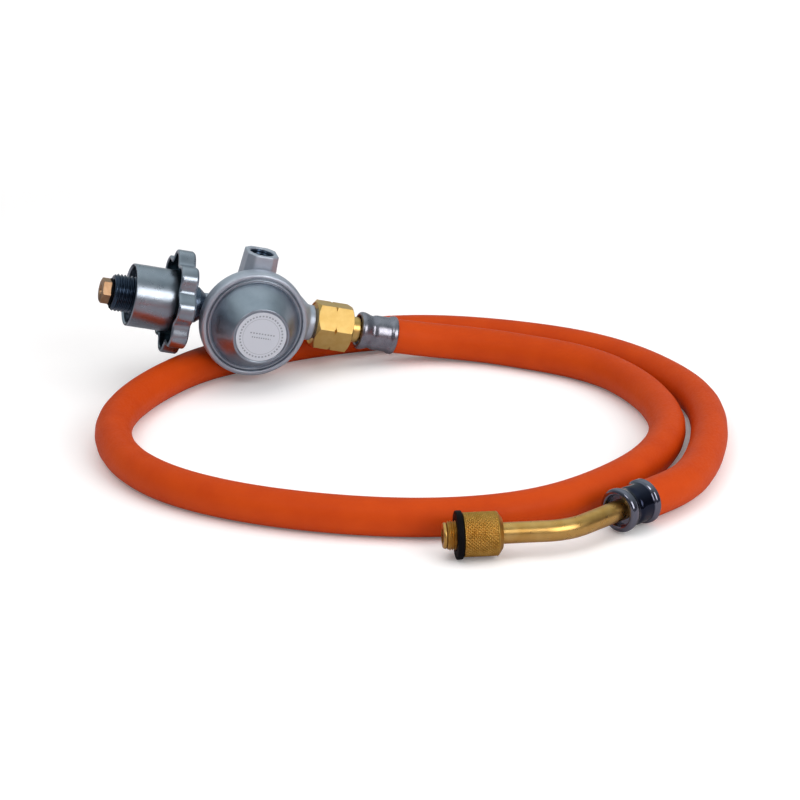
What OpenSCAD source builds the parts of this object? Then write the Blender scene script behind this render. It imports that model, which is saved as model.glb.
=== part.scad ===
// Low-pressure gas regulator with a cylinder connection, an orange hose and a bent
// brass end fitting. The hose lies in one loose loop on a flat surface, z = 0, and
// the regulator rests tilted on the hose. The origin is the point of the hose's
// flat underside below the regulator. Millimetres, +Z up.
//
// The regulator is drawn in its own frame: +X from the cylinder to the hose, -Y out
// of the round bonnet, +Z out of the gauge port. The end fitting is drawn along +X
// from the corner of its bent tube. The word "front" means a distance along -Y.

/* [Resting place] */
// Height of the inlet-outlet axis above the surface
axis_height = 28.1; // [27.5:0.1:34]
// Distance of the inlet-outlet axis in front of the origin
axis_forward = 6; // [5:0.5:8]
// Angle by which the inlet end is lifted
tilt = 13.6; // [12:0.2:15]
// Angle by which the gauge port leans to the front
lean = 2; // [0:0.5:4]

/* [Casting] */
// Diameter of the round rim
rim_d = 45.6; // [44:0.2:52]
// Distance of the rim's front plane from the inlet-outlet axis
rim_front = 16; // [15.4:0.1:17]
// Axial width of the rim
rim_width = 6.5; // [5.5:0.1:7.5]
// Thickness of the rolled lip that holds the bonnet
lip_t = 0.8; // [0.5:0.1:1.2]
// Radial width of the rim outside the bonnet's flange
rim_wall = 1.3; // [1:0.1:2]
// Depth of the casting behind the inlet-outlet axis
casting_back = 11; // [10:0.5:11]
// Radius of the casting's rear hub
hub_r = 12.2; // [11:0.1:12.4]
// Length of the casting's rear hub
hub_l = 9; // [8:0.5:9.5]
// Radial step from the rim to the rear shoulder
shoulder_step = 1.8; // [1:0.1:3]
// Thickness of the casting between the chamber and the valve bore
floor_t = 0.5; // [0.4:0.1:1]
// Radius of the chamber at its floor
chamber_floor_r = 14; // [13.5:0.1:15]
// Width of the ledge that carries the diaphragm's edge
ledge_w = 2.5; // [1.5:0.1:3]

/* [Bonnet] */
// Height of the bonnet's flat land above the rim's front plane
bonnet_rise = 14.2; // [13:0.2:17]
// Diameter of the flat land
land_d = 24.6; // [24:0.2:27]
// Wall of the bonnet's cone, measured across the axis
cone_wall = 1.8; // [1.2:0.1:2.4]
// Thickness of the bonnet's flange
bonnet_flange_t = 1.2; // [1:0.1:1.6]
// Width of the raised ring round the label
land_ring_w = 1.2; // [0.8:0.1:1.6]
// Thickness of the cap over the adjusting plug
cap_t = 0.7; // [0.5:0.1:1]
// Thickness of the label
label_t = 0.2; // [0.1:0.05:0.3]

/* [Pressure setting] */
// Diameter of the adjusting plug
plug_d = 16; // [15.6:0.2:17]
// Thickness of the adjusting plug
plug_t = 4; // [3:0.2:4.4]
// Mean radius of the main spring
spring_r = 6.2; // [5.6:0.1:6.6]
// Diameter of the spring wire
wire_d = 1.4; // [1:0.1:1.5]
// Turns of the main spring
spring_turns = 3.5; // [3:0.25:4]

/* [Diaphragm] */
// Thickness of the diaphragm
diaphragm_t = 1; // [0.8:0.1:1.4]
// Depth of the diaphragm's rolled bead
bead_h = 1; // [0.6:0.1:1.4]
// Diameter of the plate on the diaphragm
plate_d = 25; // [24:0.5:26]
// Thickness of the plate on the diaphragm
plate_t = 1.2; // [1:0.1:1.5]
// Radius of the diaphragm's stem
stem_r = 1.8; // [1.6:0.1:1.9]
// Width across flats of the stem's nut
stem_nut_af = 7; // [6:0.5:8]
// Thickness of the stem's nut
stem_nut_t = 1.5; // [1:0.1:2]
// Travel of the diaphragm from open to closed
diaphragm_travel = 2; // [1.6:0.1:2]

/* [Valve] */
// Diameter of the valve bore
valve_bore_d = 7; // [6.8:0.1:7.4]
// Length of the lever's long arm
long_arm = 9; // [8.8:0.1:9.4]
// Height of the lever's pivot above the inlet-outlet axis, the short arm's length
short_arm = 6; // [5.8:0.1:6.2]
// Width of the lever
lever_w = 1.8; // [1.4:0.1:2]
// Diameter of the lever's pin
pin_d = 2; // [1.6:0.1:2.2]
// Thickness of each lug that holds the pin
lug_t = 2; // [1.4:0.1:2.6]
// Length of the valve piston
piston_l = 12.7; // [12.4:0.1:12.9]
// Diameter of the valve pad
pad_d = 5.2; // [4.6:0.1:5.4]
// Thickness of the valve pad
pad_t = 1.5; // [1.2:0.1:1.8]
// Distance from the pad to the nozzle when the valve is open
valve_gap = 1.4; // [1.35:0.01:1.6]
// Diameter of the nozzle's orifice
orifice_d = 1.8; // [1.2:0.1:2.4]
// Length of the nozzle's body in the valve bore
nozzle_l = 8; // [7:0.2:9]

/* [Gauge port] */
// Height of the port's face above the inlet-outlet axis
port_height = 28.1; // [27:0.1:30]
// Width of the port boss at its face
port_w = 13.7; // [13:0.1:15]
// Width of the port boss at its root
port_root_w = 15.2; // [14.6:0.1:17]
// Chamfer on the port boss's corners
port_chamfer = 3; // [2:0.1:4]
// Diameter of the port's thread
port_d = 10.4; // [9.6:0.1:10.8]
// Depth of the port's thread
port_depth = 10; // [9:0.5:11]
// Depth of the plug's face below the port's face
port_recess = 3; // [2:0.1:4]

/* [Cylinder connection] */
// Distance from the regulator's centre to the inlet boss's face
inlet_boss_l = 20.4; // [20:0.1:21.5]
// Diameter of the inlet boss
inlet_boss_d = 11.4; // [11:0.1:12]
// Diameter of the thread that holds the inlet stem
inlet_bore_d = 9; // [8.4:0.1:9.6]
// Length of the inlet stem's collar, with its cone
collar_l = 6.9; // [6:0.1:7.4]
// Diameter of the inlet stem's collar
collar_d = 15.4; // [14:0.2:16]
// Length of the collar's cone, which narrows towards the casting
collar_cone_l = 2.6; // [1:0.1:3.4]
// Diameter of the inlet stem
inlet_stem_d = 8; // [7.6:0.1:8.4]
// Bore of the inlet stem
inlet_stem_bore = 4.1; // [3.6:0.1:4.4]
// Diameter of the threaded spigot
spigot_d = 16; // [15:0.2:17]
// Length of the spigot's thread
spigot_l = 14.3; // [13:0.1:16]
// Length of the spigot that stands out of the bell
spigot_out = 7.8; // [6:0.1:9]
// Diameter of the spigot's shank in the handwheel
shank_d = 13; // [12:0.2:13.6]
// Width across flats of the brass tip
tip_af = 9.7; // [9:0.1:11]
// Length of the brass tip's hexagon
tip_l = 3.6; // [3:0.1:5]
// Thickness of the seal behind the brass tip
inlet_seal_t = 0.8; // [0.6:0.1:1.2]
// Diameter of the seal behind the brass tip
inlet_seal_d = 11.4; // [10.4:0.2:12]

/* [Handwheel] */
// Outer diameter of the bell
bell_d = 26.8; // [26:0.2:28]
// Length of the bell in front of the lobed rim
bell_l = 17.2; // [15:0.2:19]
// Wall of the bell at its mouth
bell_wall = 1.3; // [1:0.1:1.6]
// Radius of the rim on its lobes
lobe_r = 22.4; // [21.5:0.1:23.4]
// Height of the lobes above the valleys between them
lobe_h = 3.5; // [2:0.1:4]
// Number of lobes
lobes = 8; // [6:1:10]
// Turn of the lobes about the axis
lobe_turn = 37; // [0:1:45]
// Width of the rim along the axis
wheel_w = 7.7; // [6.8:0.1:8.6]
// Wall of the rim
wheel_wall = 2; // [1.5:0.1:2.6]
// Thickness of the web between the rim and the bell
web_t = 2; // [1.5:0.1:3]

/* [Outlet] */
// Diameter of the outlet boss
outlet_boss_d = 15.4; // [14.8:0.2:15.8]
// Distance from the regulator's centre to the end of the outlet boss
outlet_boss_l = 28.8; // [28:0.1:30]
// Distance from the regulator's centre to the widest place of the flare on the outlet boss
flare_x = 17.5; // [16:0.1:18]
// Radius of the flare at its widest place
flare_r = 14.4; // [12:0.1:14.6]
// Distance from the regulator's centre to the end of the flare
flare_end_x = 26.2; // [24:0.1:28]
// Diameter of the outlet thread
outlet_thread_d = 13; // [12.6:0.1:13.4]
// Length of the outlet thread
outlet_thread_l = 7.5; // [7:0.1:9]
// Bore of the outlet
outlet_bore_d = 7; // [6:0.1:7.2]
// Thickness of the outlet's gasket
gasket_t = 1.5; // [1.2:0.1:2]
// Width across flats of the union nut
nut_af = 19; // [18.4:0.2:19.6]
// Distance from the outlet boss to the union nut
nut_gap = 0.4; // [0.3:0.1:1.6]
// Length of the union nut
nut_l = 16.2; // [15.6:0.1:18]
// Turn of the union nut about the axis
nut_turn = 24; // [0:1:59]
// Length of the hose tail's flange in the nut
tail_flange_l = 4.5; // [4:0.1:5]
// Diameter of the hose tail's collar
tail_collar_d = 11.2; // [10.4:0.1:11.6]
// Length of the hose tail's collar
tail_collar_l = 7.3; // [6.8:0.1:7.6]

/* [Ferrules] */
// Length of the ferrule at the regulator
ferrule_l = 16.8; // [16:0.1:20]
// Length of the ferrule at the end fitting
end_ferrule_l = 16; // [15:0.1:20]
// Diameter of the ferrules' beads
bead_d = 16.5; // [16:0.1:17]
// Diameter of the end ferrule's rolled bead
end_bead_d = 17.2; // [16.4:0.1:18]
// Diameter of the ferrules' crimped waist
waist_d = 14.8; // [14.6:0.1:15.4]
// Wall of the ferrules
ferrule_wall = 0.6; // [0.4:0.1:0.7]
// Diameter of the barbs in the hose's ends
barb_d = 8.6; // [8.2:0.1:9]

/* [End fitting] */
// Height of the end fitting's axis above the surface
fitting_height = 9.2; // [9.2:0.1:10]
// Direction of the screw's thread, from +X towards +Y
fitting_turn = 172.6; // [170:0.2:178]
// Bend of the tube
elbow_bend = 38; // [34:0.5:40]
// Radius of the bend
elbow_r = 25; // [22:1:30]
// Distance from the tube's corner to the end ferrule
elbow_run = 26.2; // [25:0.2:31]
// Diameter of the tube
tube_d = 8; // [7.6:0.1:8.2]
// Bore of the tube
tube_bore = 5.6; // [5:0.1:6]
// Distance from the tube's corner to the knurled screw
screw_start = 25.3; // [24:0.1:27]
// Diameter of the knurled screw
knurl_d = 16.6; // [16:0.1:17.4]
// Length of the knurl
knurl_l = 14.9; // [13:0.1:16]
// Diameter of the screw's thread
end_thread_d = 11.1; // [10.8:0.1:12]
// Length of the screw's thread in front of the washer
end_thread_l = 3.3; // [3:0.1:7]
// Diameter of the washer
washer_d = 18.2; // [17:0.1:18.4]
// Thickness of the washer
washer_t = 2.4; // [2:0.1:3.2]
// Length of the tube's flared nose
nose_l = 1.2; // [1:0.1:2]

/* [Hose] */
// Outer diameter of the hose
hose_d = 15; // [14.6:0.1:15.4]
// Bore of the hose
hose_bore = 8; // [7:0.1:8.4]
// Outer diameter of the hose inside the ferrules
hose_crimped_d = 13.3; // [13:0.1:13.4]

/* [Clearances] */
// Running clearance between a shaft and its bore, on the radius
running_gap = 0.1; // [0.05:0.01:0.12]
// Clearance between faces of pieces that turn on each other
face_gap = 0.3; // [0.2:0.05:0.4]
// Clearance between pieces that are screwed or pressed together, on the radius
fixed_gap = 0.05; // [0.02:0.01:0.08]

/* [Hidden] */
$fn = 96;
EPS = 0.01;

// Casting and bonnet, distances to the front
rim_r = rim_d / 2;
rim_back = rim_front - rim_width;
flange_r = rim_r - rim_wall;
flange_front = rim_front - lip_t;
flange_back = flange_front - bonnet_flange_t;
ledge_front = flange_back - diaphragm_t;
cavity_r = flange_r - ledge_w;
chamber_floor = valve_bore_d / 2 + floor_t;
lip_r = flange_r - 0.7;
cone_r = lip_r - 0.4;
land_r = land_d / 2;
land_front = rim_front + bonnet_rise;
cap_r = land_r - land_ring_w;
plug_r = plug_d / 2;
label_front = land_front - 0.1 - label_t;
cap_front = label_front - cap_t;
plug_front = cap_front - 0.4;
plug_back = plug_front - plug_t;
plug_boss_wall = 1.8;

// Diaphragm stack, drawn with the valve open
plate_front = flange_back + plate_t;
stem_hole_r = stem_r + fixed_gap;
slot_slack = 0.2;
lever_tip_r = 0.9;
arm_t = 1;
stem_back = short_arm - lever_tip_r - slot_slack - 0.6;

// Valve, distances along the inlet-outlet axis
pivot_x = long_arm;
valve_bore_r = valve_bore_d / 2;
piston_r = valve_bore_r - running_gap;
pad_x = -1.2;
piston_x = pad_x + 0.3;
piston_end = piston_x + piston_l;
valve_bore_end = piston_end + 0.4;
nozzle_tip_x = pad_x - valve_gap;
nozzle_shoulder_x = nozzle_tip_x - nozzle_l - 1.4;
nozzle_flange_t = 1;
stem_end_x = nozzle_shoulder_x - nozzle_flange_t;
inlet_bore_r = inlet_bore_d / 2;
outlet_bore_x = valve_bore_end + 1.2;
outlet_hole_x = outlet_bore_x + 2.1;
outlet_hole_r = 2.2;
window_x = [pivot_x - 2.4, pivot_x + 2.2];
window_w = lever_w + 1.4;
lug_top = short_arm + pin_d / 2 + 0.6;
lug_w = pin_d + 1.6;
pin_hole_r = pin_d / 2 + fixed_gap;
pin_l = window_w + 2 * lug_t;

// Gauge port, heights above the inlet-outlet axis
port_r = port_d / 2;
port_floor = port_height - port_depth;
port_seal_t = 1;
port_plug_top = port_height - port_recess;
gauge_hole_z = chamber_floor_r + 1.6;

// Cylinder connection, distances along the inlet-outlet axis
collar_x = -inlet_boss_l - collar_l;
web_x = collar_x - face_gap;
wheel_x = web_x - wheel_w;
mouth_x = wheel_x - bell_l;
spigot_end_x = mouth_x - spigot_out;
recess_x = spigot_end_x + spigot_l;
stem_face_x = spigot_end_x - face_gap;
seal_face_x = stem_face_x - inlet_seal_t;
tip_x = seal_face_x - tip_l;
stem_outer_r = inlet_stem_d / 2;
stem_bore_r = inlet_stem_bore / 2;
spigot_bore_r = stem_outer_r + running_gap;
spigot_r = spigot_d / 2;
shank_r = shank_d / 2;
o_ring_d = 1;
o_ring_x = mouth_x + 1.2;
bell_r = bell_d / 2;
bell_bore_r = bell_r - bell_wall;

// Bosses of the casting, swollen where they leave the dome
inlet_root_x = -15;
outlet_root_x = 22;
boss_root_r = 1;
root_slope_l = 2;
flare_rise_l = 8;
flare_back = 2;
flare_sink = 0.2;

// Outlet, distances along the inlet-outlet axis
thread_r = outlet_thread_d / 2;
thread_end_x = outlet_boss_l + outlet_thread_l;
tail_x = thread_end_x + gasket_t;
tail_shoulder_x = tail_x + tail_flange_l;
nut_x = outlet_boss_l + nut_gap;
nut_end_x = nut_x + nut_l;
nut_shoulder_x = tail_shoulder_x + face_gap;
collar_end_x = tail_shoulder_x + tail_collar_l;
ferrule_x = collar_end_x;
ferrule_end_x = ferrule_x + ferrule_l;
barb_r = barb_d / 2;
tail_bore_r = 2.6;
barb_start = 1.8;
crimped_r = hose_crimped_d / 2;
crimped_bore_r = barb_r + fixed_gap;
ferrule_cap_t = 1.2;

// End fitting, distances from the corner of the tube
elbow_tangent = elbow_r * tan(elbow_bend / 2);
tube_r = tube_d / 2;
screw_end = screw_start + knurl_l;
washer_end = screw_end + washer_t;
thread_end = washer_end + end_thread_l;
screw_bore_r = tube_r + running_gap;
nose_r = tube_r + 0.9;
washer_seat_r = end_thread_d / 2 - 0.4;
corner = [75.8, -230.4, fitting_height];

// Route of the hose's free length on the surface, chosen by hand, from the
// regulator round to the end fitting. Each point is the centre of the hose.
hose_r = hose_d / 2;
LIE = hose_r;
HOSE_ROUTE = [
    [86, -8.4, LIE + 1.4], [102, -14.8, LIE + 0.3], [118.4, -27, LIE], [132.6, -40.6, LIE],
    [143.8, -57, LIE], [150.4, -77.9, LIE], [152.4, -102, LIE], [148.8, -128, LIE],
    [138.5, -151.5, LIE], [122, -172, LIE], [100.5, -188.8, LIE], [76, -200.5, LIE],
    [50, -204, LIE], [24, -200.3, LIE], [-1, -191, LIE], [-24, -178, LIE],
    [-45, -161, LIE], [-61.5, -140, LIE], [-70.8, -115, LIE], [-72, -90, LIE],
    [-65.6, -63.8, LIE], [-50.8, -38.6, LIE], [-34.7, -20.6, LIE], [-18, -7.8, LIE],
    [0, 0, LIE], [20, 7, LIE], [46, 12, LIE], [74, 11.9, LIE],
    [100, 3.6, LIE], [123.5, -10.3, LIE], [144, -28, LIE], [159, -50.2, LIE],
    [168, -76, LIE], [170.7, -103, LIE], [165.5, -131.5, LIE], [155, -158.5, LIE],
    [144, -178.4, LIE], [131.6, -194.6, LIE + 0.9]
];

// ---------- frames and shared shapes ----------

// Puts the regulator's frame at its resting place.
module regulator_place() {
    translate([0, -axis_forward, axis_height]) rotate([lean, tilt, 0]) children();
}

// A point of the inlet-outlet axis in the part's own frame.
function axis_point(x) = [x * cos(tilt), -axis_forward, axis_height - x * sin(tilt)];

// Puts the end fitting's frame, with +X along the screw, at its resting place.
module fitting_place() {
    translate(corner) rotate([0, 0, fitting_turn]) children();
}

// Puts a frame on the tube's hose side, with +X from the corner to the hose.
module hose_side() {
    rotate([0, 0, 180 + elbow_bend]) children();
}

// A point on the hose side of the end fitting, s from the corner of the tube.
function fitting_point(s) =
    let (a = fitting_turn + 180 + elbow_bend) corner + s * [cos(a), sin(a), 0];

// A solid of revolution about X, from its outline of [x, radius] points.
module turned_x(outline) {
    rotate([0, 90, 0]) rotate_extrude() polygon([for (p = outline) [p[1], p[0]]]);
}

// A solid of revolution about the bonnet's axis, from [radius, front] points.
module turned_front(outline) {
    rotate([90, 0, 0]) rotate_extrude() polygon(outline);
}

// A rod along X.
module rod_x(x0, x1, r) {
    translate([x0, 0, 0]) rotate([0, 90, 0]) cylinder(h = x1 - x0, r = r);
}

// A disc or rod along the bonnet's axis.
module rod_front(f0, f1, r) {
    rotate([90, 0, 0]) translate([0, 0, f0]) cylinder(h = f1 - f0, r = r);
}

// A box from two opposite corners.
module box(a, b) {
    translate(a) cube(b - a);
}

// A hexagonal bar along X, with two flats across Z before it is turned.
module hex_x(x0, x1, af, turn) {
    translate([x0, 0, 0]) rotate([turn, 0, 0]) rotate([0, 90, 0])
        cylinder(h = x1 - x0, r = af / sqrt(3), $fn = 6);
}

// A hexagonal bar along X whose corners are turned down to a cone at both ends.
module chamfered_hex_x(x0, x1, af, turn) {
    corner_r = af / sqrt(3);
    end_r = af / 2 - 0.15;
    outer_r = corner_r + 1;
    cone_l = 0.6 * (outer_r - end_r);
    intersection() {
        hex_x(x0, x1, af, turn);
        turned_x([
            [x0, 0], [x0, end_r], [x0 + cone_l, outer_r], [x1 - cone_l, outer_r],
            [x1, end_r], [x1, 0]
        ]);
    }
}

// ---------- casting ----------

// Outline of the casting's outside: a rear hub that swells smoothly to the rim.
dome_steps = 8;
function dome_r(s) = hub_r + (rim_r - shoulder_step - hub_r) * (1 - cos(180 * s)) / 2;
function casting_outline() =
    let (dome_back = hub_l - casting_back)
    concat(
        [[0, -casting_back], [hub_r - 1.5, -casting_back], [hub_r, 1.5 - casting_back]],
        [for (i = [0 : dome_steps])
            [dome_r(i / dome_steps), dome_back + (rim_back - dome_back) * i / dome_steps]],
        [[rim_r - 0.6, rim_back], [rim_r, rim_back + 0.6], [rim_r, rim_front - 1.6],
         [rim_r - 0.5, rim_front - 0.5], [rim_r - 1.6, rim_front], [0, rim_front]]
    );

module port_section(w, z) {
    c = port_chamfer * w / port_w;
    h = w / 2;
    translate([0, 0, z]) linear_extrude(height = EPS) polygon([
        [h - c, -h], [h, c - h], [h, h - c], [h - c, h],
        [c - h, h], [-h, h - c], [-h, c - h], [c - h, -h]
    ]);
}

// The flare that joins the outlet boss to the back of the rim.
module outlet_flare() {
    intersection() {
        turned_x([
            [flare_x - flare_rise_l, 0], [flare_x, flare_r],
            [flare_end_x, outlet_boss_d / 2 - flare_sink], [flare_end_x, 0]
        ]);
        box([0, -rim_back - 1, -rim_r], [flare_end_x + 1, flare_back, rim_r]);
    }
}

module casting_outside() {
    turned_front(casting_outline());
    turned_x([
        [-inlet_boss_l, 0], [-inlet_boss_l, inlet_boss_d / 2],
        [inlet_root_x - root_slope_l, inlet_boss_d / 2],
        [inlet_root_x, inlet_boss_d / 2 + boss_root_r],
        [0, inlet_boss_d / 2 + boss_root_r], [0, 0]
    ]);
    turned_x([
        [0, 0], [0, outlet_boss_d / 2 + boss_root_r],
        [outlet_root_x, outlet_boss_d / 2 + boss_root_r],
        [outlet_root_x + root_slope_l, outlet_boss_d / 2],
        [outlet_boss_l, outlet_boss_d / 2], [outlet_boss_l, thread_r],
        [thread_end_x - 0.6, thread_r], [thread_end_x, thread_r - 0.6], [thread_end_x, 0]
    ]);
    outlet_flare();
    hull() {
        port_section(port_w, port_height - EPS);
        port_section(port_root_w, port_floor - 6);
    }
}

module chamber() {
    turned_front([
        [0, chamber_floor], [chamber_floor_r, chamber_floor], [cavity_r, ledge_front],
        [flange_r + fixed_gap, ledge_front], [flange_r + fixed_gap, flange_front],
        [lip_r, flange_front], [lip_r, rim_front + 1], [0, rim_front + 1]
    ]);
}

module gas_passages() {
    rod_x(-inlet_boss_l - 1, nozzle_shoulder_x, inlet_bore_r);
    rod_x(nozzle_shoulder_x - EPS, valve_bore_end, valve_bore_r);
    rod_x(outlet_bore_x, thread_end_x + 1, outlet_bore_d / 2);
    translate([outlet_hole_x, 0, 0]) rod_front(0, ledge_front - 2, outlet_hole_r);
    box([window_x[0], -chamber_floor - 1, -window_w / 2], [window_x[1], 0, window_w / 2]);
    translate([0, 0, port_floor]) cylinder(h = port_depth + 1, r = port_r);
    translate([0, 0, gauge_hole_z]) cylinder(h = port_floor - gauge_hole_z + 1, r = 2);
    translate([0, 0, gauge_hole_z]) rod_front(-1.5, ledge_front - 3, 1.5);
}

module lever_lugs() {
    for (side = [-1, 1])
        difference() {
            translate([pivot_x, 0, side * (window_w + lug_t) / 2])
                box([-lug_w / 2, -lug_top, -lug_t / 2],
                    [lug_w / 2, EPS - chamber_floor, lug_t / 2]);
            translate([pivot_x, -short_arm, -pin_l]) cylinder(h = 2 * pin_l, r = pin_hole_r);
        }
}

module body_casting() {
    color("LightSlateGray") regulator_place() {
        difference() {
            casting_outside();
            chamber();
            gas_passages();
        }
        lever_lugs();
    }
}

// ---------- bonnet and pressure setting ----------

cone_slope = (cone_r - land_r) / (land_front - flange_front);
function cone_inner_r(f) = cone_r - cone_wall - cone_slope * (f - flange_front);
ceiling_front = plug_front - 1.1;

module bonnet() {
    color("SlateGray") regulator_place() turned_front([
        [flange_r, flange_back], [flange_r, flange_front - fixed_gap],
        [cone_r, flange_front - fixed_gap], [cone_r, flange_front],
        [land_r, land_front - 0.4], [land_r - 0.4, land_front],
        [cap_r + fixed_gap, land_front], [cap_r + fixed_gap, cap_front],
        [plug_r + fixed_gap, cap_front], [plug_r + fixed_gap, plug_back - 0.6],
        [plug_r + plug_boss_wall, plug_back - 0.6], [plug_r + plug_boss_wall, ceiling_front],
        [cone_inner_r(ceiling_front), ceiling_front], [cone_inner_r(flange_back), flange_back]
    ]);
}

module bonnet_cap() {
    color("Gainsboro") regulator_place() rod_front(cap_front, label_front, cap_r);
}

module label_disc() {
    color("White") regulator_place()
        rod_front(label_front, label_front + label_t, cap_r - 0.3);
}

// A plug with a hexagonal socket and a nub that centres the spring.
module adjusting_plug() {
    nub_r = spring_r - wire_d / 2 - 0.3;
    color("DimGray") regulator_place() difference() {
        union() {
            rod_front(plug_back, plug_front, plug_r);
            rod_front(plug_back - 1, plug_back, nub_r);
        }
        rotate([90, 0, 0]) translate([0, 0, plug_front - 2.5])
            cylinder(h = 3, r = 3.5, $fn = 6);
        rod_front(plug_back - 2, plug_front, 1);
    }
}

// ---------- swept tubes ----------

function unit(v) = v / norm(v);

// One ring of a swept tube: n points round the centre p, square to the direction t,
// with a flat of the polygon facing down where the tube lies level.
function ring(p, t, r, n) =
    let (side = unit(cross(t, [0, 0, 1])), up = cross(side, t))
    [for (k = [0 : n - 1])
        let (a = 360 * (k + 0.5) / n - 90) p + r * (cos(a) * side + sin(a) * up)];

// Triangles between ring i and ring i + 1 of rings that start at point number base.
function skin(i, n, base, outward) = [
    for (k = [0 : n - 1])
        let (
            a = base + i * n + k, b = base + i * n + (k + 1) % n,
            c = a + n, d = b + n
        )
        each outward ? [[a, b, c], [b, d, c]] : [[a, c, b], [b, c, d]]
];

// Direction of the path at point i, the mean of the two stretches that meet there.
function direction(path, i) =
    let (last = len(path) - 1)
    unit(
        (i > 0 ? unit(path[i] - path[i - 1]) : [0, 0, 0])
        + (i < last ? unit(path[i + 1] - path[i]) : [0, 0, 0])
    );

// A solid tube of radius r along a path.
module swept_rod(path, r, n) {
    last = len(path) - 1;
    points = [for (i = [0 : last]) each ring(path[i], direction(path, i), r, n)];
    polyhedron(points = points, faces = concat(
        [for (i = [0 : last - 1]) each skin(i, n, 0, true)],
        [for (k = [1 : n - 2]) [0, k + 1, k]],
        [for (k = [1 : n - 2]) [last * n, last * n + k, last * n + k + 1]]
    ));
}

// A hollow tube along a path, with an outer and an inner radius for each point.
module swept_tube(path, outer, inner, n) {
    last = len(path) - 1;
    count = len(path) * n;
    points = concat(
        [for (i = [0 : last]) each ring(path[i], direction(path, i), outer[i], n)],
        [for (i = [0 : last]) each ring(path[i], direction(path, i), inner[i], n)]
    );
    polyhedron(points = points, faces = concat(
        [for (i = [0 : last - 1]) each skin(i, n, 0, true)],
        [for (i = [0 : last - 1]) each skin(i, n, count, false)],
        [for (k = [0 : n - 1])
            let (m = (k + 1) % n)
            each [[k, count + k, m], [m, count + k, count + m]]],
        [for (k = [0 : n - 1])
            let (m = (k + 1) % n, a = last * n)
            each [[a + k, a + m, count + a + k], [a + m, count + a + m, count + a + k]]]
    ));
}

// ---------- main spring ----------

spring_seat_gap = 0.15;
spring_start = plate_front + wire_d / 2 + spring_seat_gap;
spring_stop = plug_back - wire_d / 2 - spring_seat_gap;
rings_per_turn = 12;
spring_rings = round(spring_turns * rings_per_turn);
function coil_point(i) =
    let (a = 360 * i / rings_per_turn)
    [spring_r * cos(a), spring_r * sin(a),
     spring_start + (spring_stop - spring_start) * i / spring_rings];
spring_pitch = (spring_stop - spring_start) * rings_per_turn / spring_rings;

module main_spring() {
    color("Silver") regulator_place() rotate([90, 0, 0])
        swept_rod([for (i = [0 : spring_rings]) coil_point(i)], wire_d / 2, 8);
}

// ---------- diaphragm stack ----------

module diaphragm() {
    f0 = ledge_front;
    f1 = flange_back;
    inner = plate_d / 2 + 0.6;
    outer = cavity_r - 0.8;
    color("DimGray") regulator_place() turned_front([
        [stem_hole_r, f0], [inner, f0], [inner + 0.8, f0 - bead_h], [outer - 1, f0 - bead_h],
        [outer - 0.2, f0], [flange_r, f0], [flange_r, f1], [outer - 0.6, f1],
        [outer - 1.6, f1 - bead_h], [inner + 1.4, f1 - bead_h], [inner + 0.4, f1],
        [stem_hole_r, f1]
    ]);
}

// The plate and its stem, with a slot across the stem for the lever's long arm.
module diaphragm_plate() {
    slot = lever_tip_r + slot_slack;
    nub_r = spring_r - wire_d / 2 - 0.3;
    color("Silver") regulator_place() difference() {
        union() {
            rod_front(flange_back, plate_front, plate_d / 2);
            rod_front(plate_front, plate_front + 1, nub_r);
            rod_front(stem_back, flange_back, stem_r);
        }
        box([-stem_r - 1, -short_arm - slot, -lever_w / 2 - slot_slack],
            [stem_r + 1, slot - short_arm, lever_w / 2 + slot_slack]);
    }
}

module stem_nut() {
    color("Gold") regulator_place() difference() {
        rotate([90, 0, 0]) translate([0, 0, ledge_front - stem_nut_t])
            cylinder(h = stem_nut_t, r = stem_nut_af / sqrt(3), $fn = 6);
        rod_front(ledge_front - stem_nut_t - 1, ledge_front + 1, stem_hole_r);
    }
}

// ---------- lever and valve ----------

module lever() {
    half = lever_w / 2;
    bar = 0.6;
    color("Goldenrod") regulator_place() difference() {
        union() {
            translate([pivot_x, -short_arm, -half]) cylinder(h = lever_w, r = pin_d / 2 + 0.9);
            translate([0, -short_arm, -half]) cylinder(h = lever_w, r = lever_tip_r);
            translate([pivot_x, 0, -half]) cylinder(h = lever_w, r = lever_tip_r);
            box([0, -short_arm - arm_t / 2, -half], [pivot_x, arm_t / 2 - short_arm, half]);
            box([pivot_x - bar, -short_arm, -half], [pivot_x + bar, 0, half]);
        }
        translate([pivot_x, -short_arm, -lever_w]) cylinder(h = 2 * lever_w, r = lever_bore_r);
    }
}
lever_bore_r = pin_d / 2 + running_gap;

module lever_pin() {
    color("Silver") regulator_place()
        translate([pivot_x, -short_arm, -pin_l / 2]) cylinder(h = pin_l, r = pin_d / 2);
}

// The piston has four flats that let gas past, a cup for the pad and a stepped slot
// in which the lever's short arm swings.
module valve_piston() {
    flats = 2 * piston_r - 0.8;
    slot = lever_tip_r + slot_slack;
    half = lever_w / 2 + slot_slack;
    color("Goldenrod") regulator_place() difference() {
        intersection() {
            rod_x(piston_x, piston_end, piston_r);
            box([piston_x - 1, -flats / 2, -flats / 2], [piston_end + 1, flats / 2, flats / 2]);
        }
        rod_x(piston_x - 1, pad_x + pad_t, pad_d / 2 + fixed_gap);
        box([pivot_x - slot, -piston_r - 1, -half], [pivot_x + slot, lever_tip_r + 0.4, half]);
        box([pivot_x - slot, -piston_r - 1, -half], [pivot_x + slot + 0.5, -1.2, half]);
    }
}

module valve_pad() {
    color("DimGray") regulator_place() rod_x(pad_x, pad_x + pad_t, pad_d / 2);
}

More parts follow.
